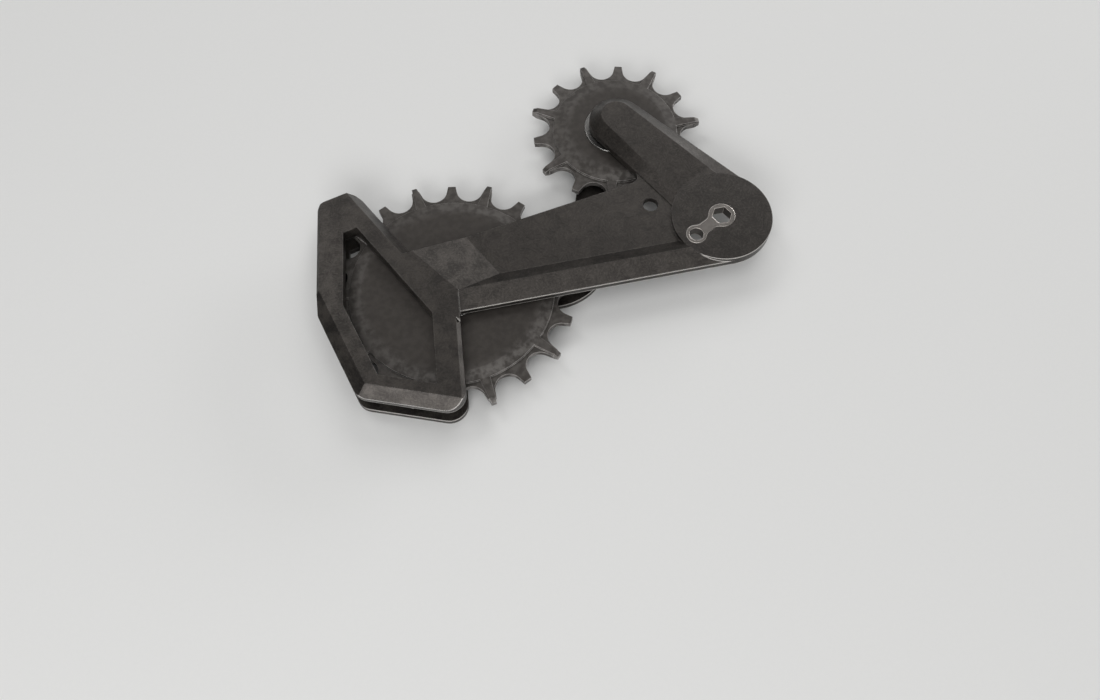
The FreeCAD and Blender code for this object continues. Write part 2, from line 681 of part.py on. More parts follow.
def make_pivot_insert():
    """Metal insert bonded into the pivot disc, with the hex socket and the spring pin hole."""
    body = new_body("pivot_insert")
    add_dogbone(body, "0")
    sketch = new_sketch(body, "hex_socket", OUTER_BACK)
    draw_outline(sketch, hexagon("hex_flats"))
    extrude(body, "Pocket", sketch, "disc_thickness", reverse=True)
    sketch = new_sketch(body, "pin_hole", OUTER_BACK)
    draw_circle(sketch, "-pin_back", "-pin_drop", "pin_hole_radius")
    extrude(body, "Pocket", sketch, "disc_thickness", reverse=True)
    return body


def make_wheel(name, place):
    """Narrow-wide chain wheel: a turned disc with a narrow rim, wide teeth laid over it, roller seats cut."""
    pairs = f"{name}_tooth_pairs"
    teeth = f"(2 * {pairs})"
    turn = f"360 / {teeth}"
    pitch = f"(chain_pitch / 2 / sin(180 / {teeth}))"
    tip = f"({pitch} + wide_tip)"
    edge = f"({pitch} - seat_radius - rim_land)"
    body = new_body(f"{name}_pulley_wheel", *place, WHEEL_MID, turn=f"{name}_phase")
    half_section = [
        ("bearing_outside / 2 + seat_fit", "web_thickness"),
        (f"{edge} - rim_slope", "web_thickness"),
        (edge, "wide_thickness"),
        (edge, "narrow_thickness"),
        (f"{pitch} + narrow_tip", "narrow_thickness"),
    ]
    below = [(radius, f"-({width}) / 2") for radius, width in half_section]
    above = [(radius, f"({width}) / 2") for radius, width in reversed(half_section)]
    sketch = new_sketch(body, f"{name}_disc", plane="XZ_Plane")
    draw_outline(sketch, below + above)
    revolve(body, "Revolution", sketch)

    inside = f"({edge} - rim_slope / 2)"
    sketch = new_sketch(body, f"{name}_wide_tooth", "-wide_thickness / 2")
    draw_outline(sketch, [
        (inside, "-wide_root / 2"),
        (tip, "-tip_land / 2"),
        (tip, "tip_land / 2"),
        (inside, "wide_root / 2"),
    ])
    repeat(body, [extrude(body, "Pad", sketch, "wide_thickness")], pairs)
    for side, sign in (("outer", "+"), ("inner", "-")):
        sketch = new_sketch(body, f"{name}_{side}_tip_bevel", plane="XZ_Plane")
        corners = [
            (f"{tip} - 4 * tip_bevel", f"{sign}(wide_thickness / 2 + tip_bevel)"),
            (f"{tip} + 2 * tip_bevel", f"{sign}(wide_thickness / 2 - 2 * tip_bevel)"),
            (f"{tip} + 2 * tip_bevel", f"{sign}(wide_thickness / 2 + tip_bevel)"),
        ]
        draw_outline(sketch, corners if sign == "+" else corners[::-1])
        revolve(body, "Groove", sketch)

    beyond = f"({tip} + chain_pitch / 4)"
    flank = "(tip_land / 2 + tooth_ledge)"
    ahead, aside = f"cos({turn})", f"sin({turn})"
    seat = new_sketch(body, f"{name}_roller_seat")
    draw_outline(seat, [
        (beyond, flank),
        (f"{beyond} * {ahead} + {flank} * {aside}", f"{beyond} * {aside} - {flank} * {ahead}"),
        (f"{tip} * {ahead} + {flank} * {aside}", f"{tip} * {aside} - {flank} * {ahead}"),
        (f"{pitch} * cos({turn} / 2)", f"{pitch} * sin({turn} / 2)", "seat_radius"),
        (tip, flank),
    ])
    gap = extrude(body, "Pocket", seat, "2 * web_thickness")
    gap.Midplane = True
    repeat(body, [gap], teeth)
    return body


def groove_race(body, name):
    """Ball track of a race, cut round it."""
    sketch = new_sketch(body, f"{name}_track", plane="XZ_Plane")
    draw_circle(sketch, "(bearing_bore + bearing_outside) / 4", "0", "ball_diameter / 2 + ball_play")
    revolve(body, "Groove", sketch)
    return body


def make_bearing(name, place):
    """Sealed ball bearing of one wheel: two races, balls, ball cage and two seals."""
    at = dict(zip("xyz", (*place, WHEEL_MID)))
    bore, outside = "bearing_bore / 2", "bearing_outside / 2"
    half = "bearing_width / 2"
    middle = "(bearing_bore + bearing_outside) / 4"
    lip, rim = f"{bore} + race_wall + seal_play", f"{outside} - race_wall"
    inner = turned(f"{name}_bearing_inner_race", ring(bore, f"{bore} + race_wall", f"-{half}", half), **at)
    outer = turned(f"{name}_bearing_outer_race", ring(rim, outside, f"-{half}", half), **at)
    groove_race(inner, f"{name}_inner")
    groove_race(outer, f"{name}_outer")
    made = [inner, outer]
    high, low = f"{half} - seal_inset", f"{half} - seal_inset - seal_thickness"
    made.append(turned(f"{name}_outer_seal", ring(lip, rim, low, high), **at))
    made.append(turned(f"{name}_inner_seal", ring(lip, rim, f"-({high})", f"-({low})"), **at))

    cage = turned(f"{name}_ball_cage", ring(f"{middle} - cage_wall / 2", f"{middle} + cage_wall / 2",
                                            "-cage_width / 2", "cage_width / 2"), **at)
    pocket = new_sketch(cage, f"{name}_ball_pocket", plane="YZ_Plane")
    draw_circle(pocket, "0", "0", "ball_diameter / 2 + ball_play")
    pocket = extrude(cage, "Pocket", pocket, outside, reverse=True)
    repeat(cage, [pocket], "ball_count")
    made.append(cage)

    balls = []
    for index in range(round(number("ball_count"))):
        ball = doc.addObject("Part::Sphere", f"{name}_ball_{index}")
        bind(ball, "Radius", "ball_diameter / 2")
        turn = f"{index} * 360 / ball_count"
        bind(ball, "Placement.Base.x", f"{place[0]} + {middle} * cos({turn})")
        bind(ball, "Placement.Base.y", f"{place[1]} + {middle} * sin({turn})")
        bind(ball, "Placement.Base.z", WHEEL_MID)
        balls.append(ball)
    group = doc.addObject("Part::Compound", f"{name}_bearing_balls")
    group.Links = balls
    made.append(group)
    return made


def make_axle(name, place):
    """Axle hardware of one wheel: sleeve, two spacer washers, countersunk bolt and threaded insert."""
    at = dict(zip("xyz", (*place, WHEEL_MID)))
    bore = "bearing_bore / 2"
    sleeve = turned(f"{name}_axle_sleeve", ring("bolt_radius + sleeve_play", f"{bore} - seat_fit",
                                                "-chain_gap / 2", "chain_gap / 2"), **at)
    washers = []
    for side, bottom, top in (("outer", "bearing_width / 2", "chain_gap / 2"),
                              ("inner", "-chain_gap / 2", "-bearing_width / 2")):
        washers.append(turned(f"{name}_{side}_washer", ring(bore, f"{bore} + washer_rim", bottom, top), **at))

    at["z"] = REST
    tip = "inner_thickness + chain_gap + insert_length - bolt_recess"
    bolt = turned(f"{name}_axle_bolt", [
        ("0", "0"),
        ("bolt_head_radius", "0"),
        ("bolt_radius", "bolt_head_radius - bolt_radius"),
        ("bolt_radius", tip),
        ("0", tip),
    ], **at)
    socket = new_sketch(bolt, f"{name}_bolt_socket")
    draw_outline(socket, hexagon("bolt_socket"))
    extrude(bolt, "Pocket", socket, "socket_depth", reverse=True)

    at["z"] = OUTER_BACK
    wall = "bolt_radius + seat_fit"
    insert = turned(f"{name}_threaded_insert", [
        (wall, "0"),
        ("insert_radius", "0"),
        ("insert_radius", "insert_length / 3"),
        ("insert_radius - insert_groove", "insert_length / 3"),
        ("insert_radius - insert_groove", "insert_length * 2 / 3"),
        ("insert_radius", "insert_length * 2 / 3"),
        ("insert_radius", "insert_length"),
        (wall, "insert_length"),
    ], **at)
    return [sleeve, *washers, bolt, insert]


pieces = [make_outer_plate(), make_inner_plate(), make_pivot_insert()]
for name, place in (("upper", UPPER_AXLE), ("lower", LOWER_AXLE)):
    pieces.append(make_wheel(name, place))
    pieces += make_bearing(name, place)
    pieces += make_axle(name, place)
doc.recompute()

for thing in doc.Objects:
    if "Invalid" in thing.State or "Error" in thing.State:
        raise RuntimeError(f"{thing.Label} failed: {thing.State}")
for piece in pieces:
    if piece.Shape.isNull() or not piece.Shape.isValid():
        raise RuntimeError(f"{piece.Label} has no valid shape")
os.makedirs("parts", exist_ok=True)
for piece in pieces:
    piece.Shape.exportStep(f"parts/{piece.Label}.step")
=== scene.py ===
"""Rear derailleur cage: rounded edges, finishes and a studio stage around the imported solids."""
import json
from math import pi, radians

import bpy
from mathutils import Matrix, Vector


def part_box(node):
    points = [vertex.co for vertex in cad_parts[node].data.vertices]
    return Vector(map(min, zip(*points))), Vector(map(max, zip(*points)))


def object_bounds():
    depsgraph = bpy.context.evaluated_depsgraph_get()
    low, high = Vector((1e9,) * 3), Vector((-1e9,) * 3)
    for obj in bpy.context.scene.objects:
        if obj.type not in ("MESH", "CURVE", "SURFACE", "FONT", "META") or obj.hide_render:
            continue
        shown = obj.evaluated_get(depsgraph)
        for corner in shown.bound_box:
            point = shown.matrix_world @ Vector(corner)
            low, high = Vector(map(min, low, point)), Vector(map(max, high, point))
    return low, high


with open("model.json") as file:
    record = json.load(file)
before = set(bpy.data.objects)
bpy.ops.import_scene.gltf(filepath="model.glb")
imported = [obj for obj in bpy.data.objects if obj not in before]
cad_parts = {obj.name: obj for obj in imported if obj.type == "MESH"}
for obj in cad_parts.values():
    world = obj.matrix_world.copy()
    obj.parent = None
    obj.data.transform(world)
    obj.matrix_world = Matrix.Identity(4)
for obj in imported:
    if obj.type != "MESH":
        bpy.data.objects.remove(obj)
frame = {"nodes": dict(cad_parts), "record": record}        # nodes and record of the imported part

bl_info = {
    "name": "Derailleur cage finish",
    "version": (1, 0, 0),
    "blender": (4, 5, 0),
    "location": "View3D > Sidebar > Cage",
    "description": "Rounds the edges of a rear derailleur cage and gives every piece its finish",
    "category": "Object",
}

CAD_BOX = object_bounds()
MM = 0.001

PLATES = ("outer_cage_plate", "inner_cage_plate")
WHEELS = ("upper", "lower")

# Axis of the pivot, which runs through the part's own origin
PIVOT = (0, 0, 0)

# Ways in the part's own frame in which edges of the plates and of the wheels face the front lamp and the camera,
# where a painted highlight is laid on them
PLATE_HIGHLIGHT_WAY = (0.1, -0.995, 0.0)
WHEEL_HIGHLIGHT_WAY = (0.2, -0.98, 0.0)

# Values that several finishes share
BEVEL_SAMPLES = 8
COAT_ROUGHNESS = 0.12
COARSE_DETAIL = 2.0
GRAIN_DETAIL = 3.0

# Sockets of the Mix node that serve colours
MIX_FACTOR = 0
MIX_LOW = 6
MIX_HIGH = 7
MIX_RESULT = 2

# Plates: detail of the patterns, and the bands and fades in which each goes from nothing to all
CLOUD_DETAIL = 8.0
CLOUD_BAND = (0.32, 0.68)
SCUFF_DETAIL = 5.0
SCUFF_BAND = (0.45, 0.68)
STREAK_BAND = (0.3, 0.7)
SCRATCH_BAND = (0.58, 0.68)
# Painted highlight on the plates' edges that face the front lamp: how far they turn, how wide the strip with the
# scuffing is, and which half it lies on
PLATE_HIGHLIGHT_BAND = (0.25, 0.6)
WEAR_AND_HIGHLIGHT_BAND = (0.008, 0.09)
HIGHLIGHT_SIDE_BAND = (-5 * MM, 5 * MM)
LOOP_FADE = 14 * MM
DISC_FADE = 0.5 * MM

# Plates: share of each pattern in the tone between the dark and the light chips
CLOUD_TONE = 0.22
LOOP_CLOUD_TONE = 0.35
SCRATCH_TONE = 0.3
LOOP_SHADE = 0.2
STREAK_TONE = 0.45
CHIP_TONE = 0.25
SCUFF_TONE = 0.3
TONE_SHADE = 0.1
DISC_SHADE = 0.2

# Plates: share of bare scuffing on every edge and on scuffed ones, and of a painted highlight on the edges that
# face the front lamp
EDGE_WEAR = 0.01
SCUFF_WEAR = 0.04
FRONT_EDGE_HIGHLIGHT = 0.85

# Plates: added roughness of dark chips, height of scuffs against fibres and strength of the relief
DARK_ROUGHNESS = 0.14
SCUFF_HEIGHT = 0.5
PLATE_BUMP = 0.5

# Wheels: detail and bands of the patterns, and where the rim painted paler as a highlight starts and ends in
# widths of its slope
WHEEL_CLOUD_DETAIL = 6.0
WHEEL_CLOUD_BAND = (0.34, 0.66)
# Band in which the wheels' edges turn towards the front lamp and take the painted highlight
WHEEL_HIGHLIGHT_BAND = (0.0, 0.5)
WHEEL_EDGE_BAND = (0.01, 0.12)
RIM_START = 1.6
RIM_END = 0.4

# Wheels: shares of the painted highlight on the rim, and of chain rubbing and painted highlight on the edges of
# the teeth
RIM_HIGHLIGHT = 0.02
RIM_CLOUD_HIGHLIGHT = 0.07
RIM_FRONT_HIGHLIGHT = 0.3
TOOTH_WEAR = 0.15
GRAIN_WEAR = 0.3
TOOTH_FRONT_HIGHLIGHT = 0.5

# Wheels: shares of the patterns in the pale patches, in the roughness and in the relief
CLOUD_PALE = 0.4
GRAIN_PALE = 0.5
GRAIN_ROUGHNESS = 0.14
TOOTH_SMOOTHING = 0.1
WEAR_SMOOTHING = 0.15
CLOUD_HEIGHT = 0.5
WHEEL_BUMP = 0.5

# Turned metal: tarnish, edges painted bright as a highlight, and turning marks
TARNISH_SIZE = 2.2 * MM
TARNISH_DETAIL = 4.0
METAL_GRAIN_SIZE = 0.18 * MM
METAL_HIGHLIGHT_BAND = (0.01, 0.1)
DULL_FACTOR = 0.62
EDGE_HIGHLIGHT_FACTOR = 4.0
TARNISH_DULL = 0.8
GRAIN_DULL = 0.3
CLEAN_SHARE = 0.1
TARNISH_ROUGHNESS = 0.18
RING_ROUGHNESS = 0.03
METAL_BUMP = 0.6

# Rubber and polymer: grain and clouds
POLYMER_GRAIN_SIZE = 0.3 * MM
POLYMER_CLOUD_SIZE = 3 * MM
POLYMER_PALE = 1.7
POLYMER_MIX = 0.5
POLYMER_DARK = 0.1
POLYMER_GRAIN_ROUGHNESS = 0.2
POLYMER_RELIEF = 0.02 * MM
POLYMER_BUMP = 0.4

# Floor: dull paper with a fine grain
FLOOR_ROUGHNESS = 0.7
FLOOR_SPECULAR = 0.2
FLOOR_GRAIN_SIZE = 1.2 * MM
FLOOR_GRAIN_PALE = 1.02

# Lamps: where each hangs from the middle of the part and its two sides, in metres
LAMPS = {
    "top": ((0.0, -0.25, 1.2), (1.4, 1.1)),
    "back": ((0.38, 0.92, 0.84), (1.0, 0.6)),
    "left": ((-0.50, 0.71, 1.03), (0.5, 0.5)),
    "rim": ((1.00, 0.58, 0.24), (0.8, 0.3)),
    "front": ((-0.354, -0.76, 0.545), (0.8, 0.35)),
}

# Camera: nearest distance that it shows
CLIP_START = 1 * MM


def length(name, description, default):
    """Property for a length that is given in millimetres."""
    return bpy.props.FloatProperty(name=name, description=description, default=default * MM,
                                   min=0.0, precision=5, subtype="DISTANCE", unit="LENGTH")


def share(name, description, default):
    """Property for a share between nothing and all."""
    return bpy.props.FloatProperty(name=name, description=description, default=default,
                                   min=0.0, max=1.0, subtype="FACTOR")


def power(name, description, default):
    """Property for the power of a lamp in watts."""
    return bpy.props.FloatProperty(name=name, description=description, default=default, min=0.0, unit="POWER")


def colour(name, description, default):
    """Property for a colour."""
    return bpy.props.FloatVectorProperty(name=name, description=description, default=default,
                                         min=0.0, max=1.0, size=3, subtype="COLOR")


class CagePlateSettings(bpy.types.PropertyGroup):
    """Moulded plates of chopped carbon."""
    edge_radius: length("Edge radius", "Rounding of the moulded edges", 0.4)
    # Width of the pale edge strip, which is mostly a painted highlight and partly scuffing
    wear_and_highlight_width: length("Wear and highlight width", "How far the rubbed strip reaches from an edge", 0.75)
    chip_size: length("Chip size", "Width of one chip of chopped carbon", 2.6)
    fibre_length: length("Fibre length", "Length of a visible streak of fibres", 3.0)
    fibre_width: length("Fibre width", "Width of a visible streak of fibres", 0.25)
    cloud_size: length("Cloud size", "Width of a soft patch in the moulding", 6.0)
    scuff_size: length("Scuff size", "Width of a rubbed spot", 0.8)
    scratch_length: length("Scratch length", "Length of a scratch on the loop", 9.0)
    loop_start: length("Loop start", "Where the handled loop starts, from the pivot", 74.0)
    disc_radius: length("Disc radius", "Radius of the darker pivot disc", 17.4)
    relief: length("Relief", "Height of the fibres in the skin", 0.02)
    dark: colour("Dark chips", "Colour of chips that lie across the light", (0.0010, 0.0009, 0.0008))
    light: colour("Light chips", "Colour of chips that lie along the light", (0.046, 0.0410, 0.0365))
    # Pale edge colour: mostly a painted highlight on edges that face the front lamp, partly bare scuffing
    wear_and_highlight: colour("Worn and highlit edges", "Colour of edges that are rubbed bare", (0.80, 0.77, 0.73))
    sheen: colour("Sheen", "Tint of the light that the skin reflects", (1.0, 0.92, 0.86))
    roughness: share("Roughness", "Roughness of the moulded skin", 0.28)
    edge_roughness: share("Edge roughness", "Roughness of rubbed edges", 0.15)


class CageWheelSettings(bpy.types.PropertyGroup):
    """Moulded chain wheels."""
    edge_radius: length("Edge radius", "Rounding of the moulded edges", 0.35)
    grain_size: length("Grain size", "Size of the moulded grain", 0.4)
    cloud_size: length("Cloud size", "Width of a soft patch in the moulding", 2.2)
    tooth_height: length("Tooth height", "Wide tooth from the disc's edge to its tip", 8.8)
    rim_slope: length("Rim slope", "Sloped ring at the edge of the disc", 4.0)
    relief: length("Relief", "Height of the moulded grain", 0.02)
    body: colour("Body", "Colour of the moulded polymer", (0.012, 0.0105, 0.0092))
    pale: colour("Pale patches", "Colour of the pale patches of the moulding", (0.036, 0.0320, 0.0285))
    # Pale colour of the painted highlight on the rim and on the teeth's edges, and of the teeth's rubbing by the
    # chain
    rubbed_and_highlit: colour("Rubbed and highlit", "Colour where the chain has rubbed the rim", (0.42, 0.40, 0.38))
    sheen: colour("Sheen", "Tint of the light that the faces reflect", (1.0, 0.92, 0.86))
    roughness: share("Roughness", "Roughness of the moulded faces", 0.44)


class CageMetalSettings(bpy.types.PropertyGroup):
    """Turned and ground metal pieces, seals and ball cages."""
    edge_radius: length("Edge radius", "Rounding of the turned edges", 0.42)
    groove_pitch: length("Groove pitch", "Distance between two turning marks", 0.16)
    groove_depth: length("Groove depth", "Depth of the turning marks", 0.006)
    insert: colour("Pivot insert", "Colour of the pivot insert", (0.20, 0.186, 0.173))
    steel: colour("Bearing steel", "Colour of the ground races and balls", (0.15, 0.146, 0.141))
    aluminium: colour("Aluminium", "Colour of the sleeves and washers", (0.50, 0.495, 0.485))
    bolt: colour("Bolt steel", "Colour of the blackened bolts", (0.10, 0.10, 0.105))
    rubber: colour("Rubber", "Colour of the bearing seals", (0.020, 0.020, 0.021))
    polymer: colour("Ball cage", "Colour of the ball cages", (0.52, 0.43, 0.27))
    insert_roughness: share("Insert roughness", "Roughness of the pivot insert", 0.30)
    steel_roughness: share("Steel roughness", "Roughness of the ground races and balls", 0.22)
    aluminium_roughness: share("Aluminium roughness", "Roughness of the sleeves and washers", 0.28)
    bolt_roughness: share("Bolt roughness", "Roughness of the blackened bolts", 0.34)
    rubber_roughness: share("Rubber roughness", "Roughness of the bearing seals", 0.5)
    polymer_roughness: share("Ball cage roughness", "Roughness of the ball cages", 0.35)


class CageStageSettings(bpy.types.PropertyGroup):
    """Floor, lamps and camera."""
    floor: colour("Floor", "Colour of the floor", (0.80, 0.80, 0.79))
    floor_size: length("Floor size", "Side of the floor", 1300.0)
    top_power: power("Top lamp", "Power of the wide lamp overhead", 5.2)
    back_power: power("Back lamp", "Power of the wide lamp behind", 3.8)
    left_power: power("Left lamp", "Power of the small lamp behind the left side", 2.2)
    rim_power: power("Rim lamp", "Power of the low lamp behind the right side", 4.5)
    front_power: power("Front lamp", "Power of the lamp in front", 4.4)
    sky: share("Sky", "Strength of the even light from all round", 0.09)
    camera_place: bpy.props.FloatVectorProperty(
        name="Camera place", description="Where the camera stands", size=3, unit="LENGTH",
        subtype="TRANSLATION", default=(-96.284 * MM, -168.563 * MM, 288.87 * MM))
    camera_turn: bpy.props.FloatVectorProperty(
        name="Camera turn", description="How the camera is turned", size=3, subtype="EULER",
        default=(radians(24.827), radians(-0.097), radians(-11.877)))
    camera_lens: bpy.props.FloatProperty(name="Lens", description="Focal length of the camera",
                                         default=32.383, min=1.0, unit="CAMERA")


class Wire:
    """Value on a shader socket: Python operators on it add Math nodes."""

    def __init__(self, finish, socket):
        self.finish = finish
        self.socket = socket

    def math(self, operation, *values):
        """Math node over the given values."""
        return self.finish.node("ShaderNodeMath", {"operation": operation}, dict(enumerate(values)))

    def __add__(self, other):
        return self.math("ADD", self, other)

    def __sub__(self, other):
        return self.math("SUBTRACT", self, other)

    def __rsub__(self, other):
        return self.math("SUBTRACT", other, self)

    def __mul__(self, other):
        return self.math("MULTIPLY", self, other)

    __radd__ = __add__
    __rmul__ = __mul__

    def clear_of(self, low, high):
        """Share of the way from low to high, held between nothing and all."""
        return self.finish.node("ShaderNodeMapRange", {"interpolation_type": "SMOOTHSTEP"},
                                {"Value": self, "From Min": low, "From Max": high})


class Finish:
    """Material under work: adds nodes to its tree and feeds its main shader."""

    def __init__(self, name, constants):
        self.material = bpy.data.materials.new(name)
        self.material.use_nodes = True
        self.tree = self.material.node_tree
        self.shader = self.tree.nodes["Principled BSDF"]
        self.feed(self.shader, constants)

    def feed(self, node, values):
        """Sets or links the named sockets of a node."""
        for key, value in values.items():
            if isinstance(value, Wire):
                self.tree.links.new(value.socket, node.inputs[key])
            else:
                node.inputs[key].default_value = value

    def node(self, kind, settings, values, output=0):
        """New node of a kind, with its settings first and then its sockets."""
        node = self.tree.nodes.new(kind)
        for name, value in settings.items():
            setattr(node, name, value)
        self.feed(node, values)
        return Wire(self, node.outputs[output])

    def place(self):
        """Position on the piece, in metres of the part's own frame."""
        return self.node("ShaderNodeTexCoord", {}, {}, "Object")

    def scaled(self, place, factors):
        """Position stretched along its three axes."""
        return self.node("ShaderNodeVectorMath", {"operation": "MULTIPLY"}, {0: place, 1: factors})

    def moved(self, place, drift, reach):
        """Position moved aside by a drift of the given reach."""
        return self.node("ShaderNodeVectorMath", {"operation": "MULTIPLY_ADD"},
                         {0: drift, 1: (reach, reach, reach), 2: place})

    def noise(self, place, size, detail, output="Fac"):
        """Soft noise whose lumps have the given size."""
        sockets = {"Vector": place, "Scale": 1 / size, "Detail": detail}
        return self.node("ShaderNodeTexNoise", {}, sockets, output)

    def streaks(self, place, reach, width):
        """Noise drawn out along X into streaks of the given reach and width."""
        stretched = self.scaled(place, (1 / reach, 1 / width, 1 / width))
        return self.noise(stretched, 1.0, COARSE_DETAIL)

    def mix(self, factor, low, high):
        """Colour between two colours."""
        sockets = {MIX_FACTOR: factor, MIX_LOW: low, MIX_HIGH: high}
        return self.node("ShaderNodeMix", {"data_type": "RGBA"}, sockets, MIX_RESULT)

    def dot(self, first, second):
        """Share of one direction along another."""
        return self.node("ShaderNodeVectorMath", {"operation": "DOT_PRODUCT"}, {0: first, 1: second}, "Value")

    def rounded(self, radius):
        """Surface normal with the edges of the piece rounded."""
        return self.node("ShaderNodeBevel", {"samples": BEVEL_SAMPLES}, {"Radius": radius})

    def edge(self, rounded, low, high):
        """Share along the edges, from how far rounding turns the normal: it carries scuffing and painted
        highlights.
        """
        face = self.node("ShaderNodeNewGeometry", {}, {}, "Normal")
        return (1 - self.dot(rounded, face)).clear_of(low, high)

    def facing(self, normal, way):
        """Share of a surface normal along a way in the part's own frame."""
        settings = {"vector_type": "NORMAL", "convert_from": "WORLD", "convert_to": "OBJECT"}
        return self.dot(self.node("ShaderNodeVectorTransform", settings, {0: normal}), way)

    def bump(self, height, distance, strength, rounded):
        """Surface normal of a fine relief over the rounded edges."""
        sockets = {"Height": height, "Distance": distance, "Strength": strength, "Normal": rounded}
        return self.node("ShaderNodeBump", {}, sockets)

    def along(self, place, axis):
        """Distance along a named axis from the origin."""
        return self.node("ShaderNodeSeparateXYZ", {}, {0: place}, axis)

    def radius_from(self, place, centre):
        """Distance from an axis along Z through the given centre."""
        flat = self.scaled(place, (1, 1, 0))
        return self.node("ShaderNodeVectorMath", {"operation": "DISTANCE"},
                         {0: flat, 1: (centre[0], centre[1], 0)}, "Value")


def solid(tint):
    """Colour with full cover."""
    return (*tint, 1.0)


def times(tint, factor):
    """Colour made darker or brighter."""
    return tuple(min(1.0, part * factor) for part in tint)


def satin(sheen):
    """Constants of a moulded skin: the tint of what it reflects, and the smooth coat of its scuffed and
    painted-highlight spots.
    """
    return {"Specular Tint": solid(sheen), "Coat Roughness": COAT_ROUGHNESS}


def carbon_chip(finish, settings, place):
    """One value for each wavy chip of chopped carbon."""
    drift = finish.noise(place, settings.chip_size, COARSE_DETAIL, "Color")
    wavy = finish.moved(place, drift, settings.chip_size)
    sockets = {"Vector": wavy, "Scale": 1 / settings.chip_size}
    chips = finish.node("ShaderNodeTexVoronoi", {}, sockets, "Color")
    return finish.node("ShaderNodeSeparateColor", {}, {0: chips})


def carbon_fibres(finish, settings, place, chip):
    """Fibres that run in each chip's own direction."""
    turned = finish.node("ShaderNodeVectorRotate", {"rotation_type": "Z_AXIS"},
                         {"Vector": place, "Angle": chip * pi})
    return finish.streaks(turned, settings.fibre_length, settings.fibre_width)


def carbon_tone(finish, settings, place, chip, fibres, scuffs):
    """Tone between the dark and the light chips: mottled most on the loop, darker on the pivot disc."""
    clouds = finish.noise(place, settings.cloud_size, CLOUD_DETAIL).clear_of(*CLOUD_BAND)
    scratches = finish.streaks(place, settings.scratch_length, settings.fibre_width).clear_of(*SCRATCH_BAND)
    loop = (0 - finish.along(place, "X")).clear_of(settings.loop_start, settings.loop_start + LOOP_FADE)
    disc_edge = (settings.disc_radius - DISC_FADE, settings.disc_radius)
    disc = 1 - finish.radius_from(place, PIVOT).clear_of(*disc_edge)
    loop_marks = scratches * loop * SCRATCH_TONE - loop * LOOP_SHADE
    mottle = clouds * (CLOUD_TONE + loop * LOOP_CLOUD_TONE) + loop_marks
    weave = fibres.clear_of(*STREAK_BAND) * STREAK_TONE + chip * CHIP_TONE + scuffs * SCUFF_TONE
    return mottle + weave - TONE_SHADE - disc * DISC_SHADE


def carbon_wear_and_highlight(finish, settings, place, scuffs):
    """Share of the pale edge strip: a little bare scuffing along every edge, and mostly a painted highlight on the
    edges of the front half that face the front lamp.
    """
    rubbed_and_highlit = finish.rounded(settings.wear_and_highlight_width)
    # Painted highlight: edges of the front half whose rounded normal faces the front lamp
    facing_highlight = finish.facing(rubbed_and_highlit, PLATE_HIGHLIGHT_WAY).clear_of(*PLATE_HIGHLIGHT_BAND)
    highlight_side = (0 - finish.along(place, "Y")).clear_of(*HIGHLIGHT_SIDE_BAND)
    strength = EDGE_WEAR + scuffs * SCUFF_WEAR + facing_highlight * highlight_side * FRONT_EDGE_HIGHLIGHT
    return finish.edge(rubbed_and_highlit, *WEAR_AND_HIGHLIGHT_BAND) * strength


def chopped_carbon(settings):
    """Satin moulding of chopped carbon: wavy chips, each streaked by its own fibres, in soft clouds."""
    finish = Finish("chopped_carbon", satin(settings.sheen))
    place = finish.place()
    chip = carbon_chip(finish, settings, place)
    fibres = carbon_fibres(finish, settings, place, chip)
    scuffs = finish.noise(place, settings.scuff_size, SCUFF_DETAIL).clear_of(*SCUFF_BAND)
    tone = carbon_tone(finish, settings, place, chip, fibres, scuffs)
    wear_and_highlight = carbon_wear_and_highlight(finish, settings, place, scuffs)
    skin = finish.mix(tone, solid(settings.dark), solid(settings.light))
    smoothing = settings.roughness - settings.edge_roughness
    rounded = finish.rounded(settings.edge_radius)
    # The pale edge colour is mostly a painted highlight and partly bare scuffing
    finish.feed(finish.shader, {
        "Base Color": finish.mix(wear_and_highlight, skin, solid(settings.wear_and_highlight)),
        "Roughness": settings.roughness + (1 - tone) * DARK_ROUGHNESS - wear_and_highlight * smoothing,
        "Coat Weight": wear_and_highlight,
        "Normal": finish.bump(fibres + scuffs * SCUFF_HEIGHT, settings.relief, PLATE_BUMP, rounded),
    })
    return finish.material


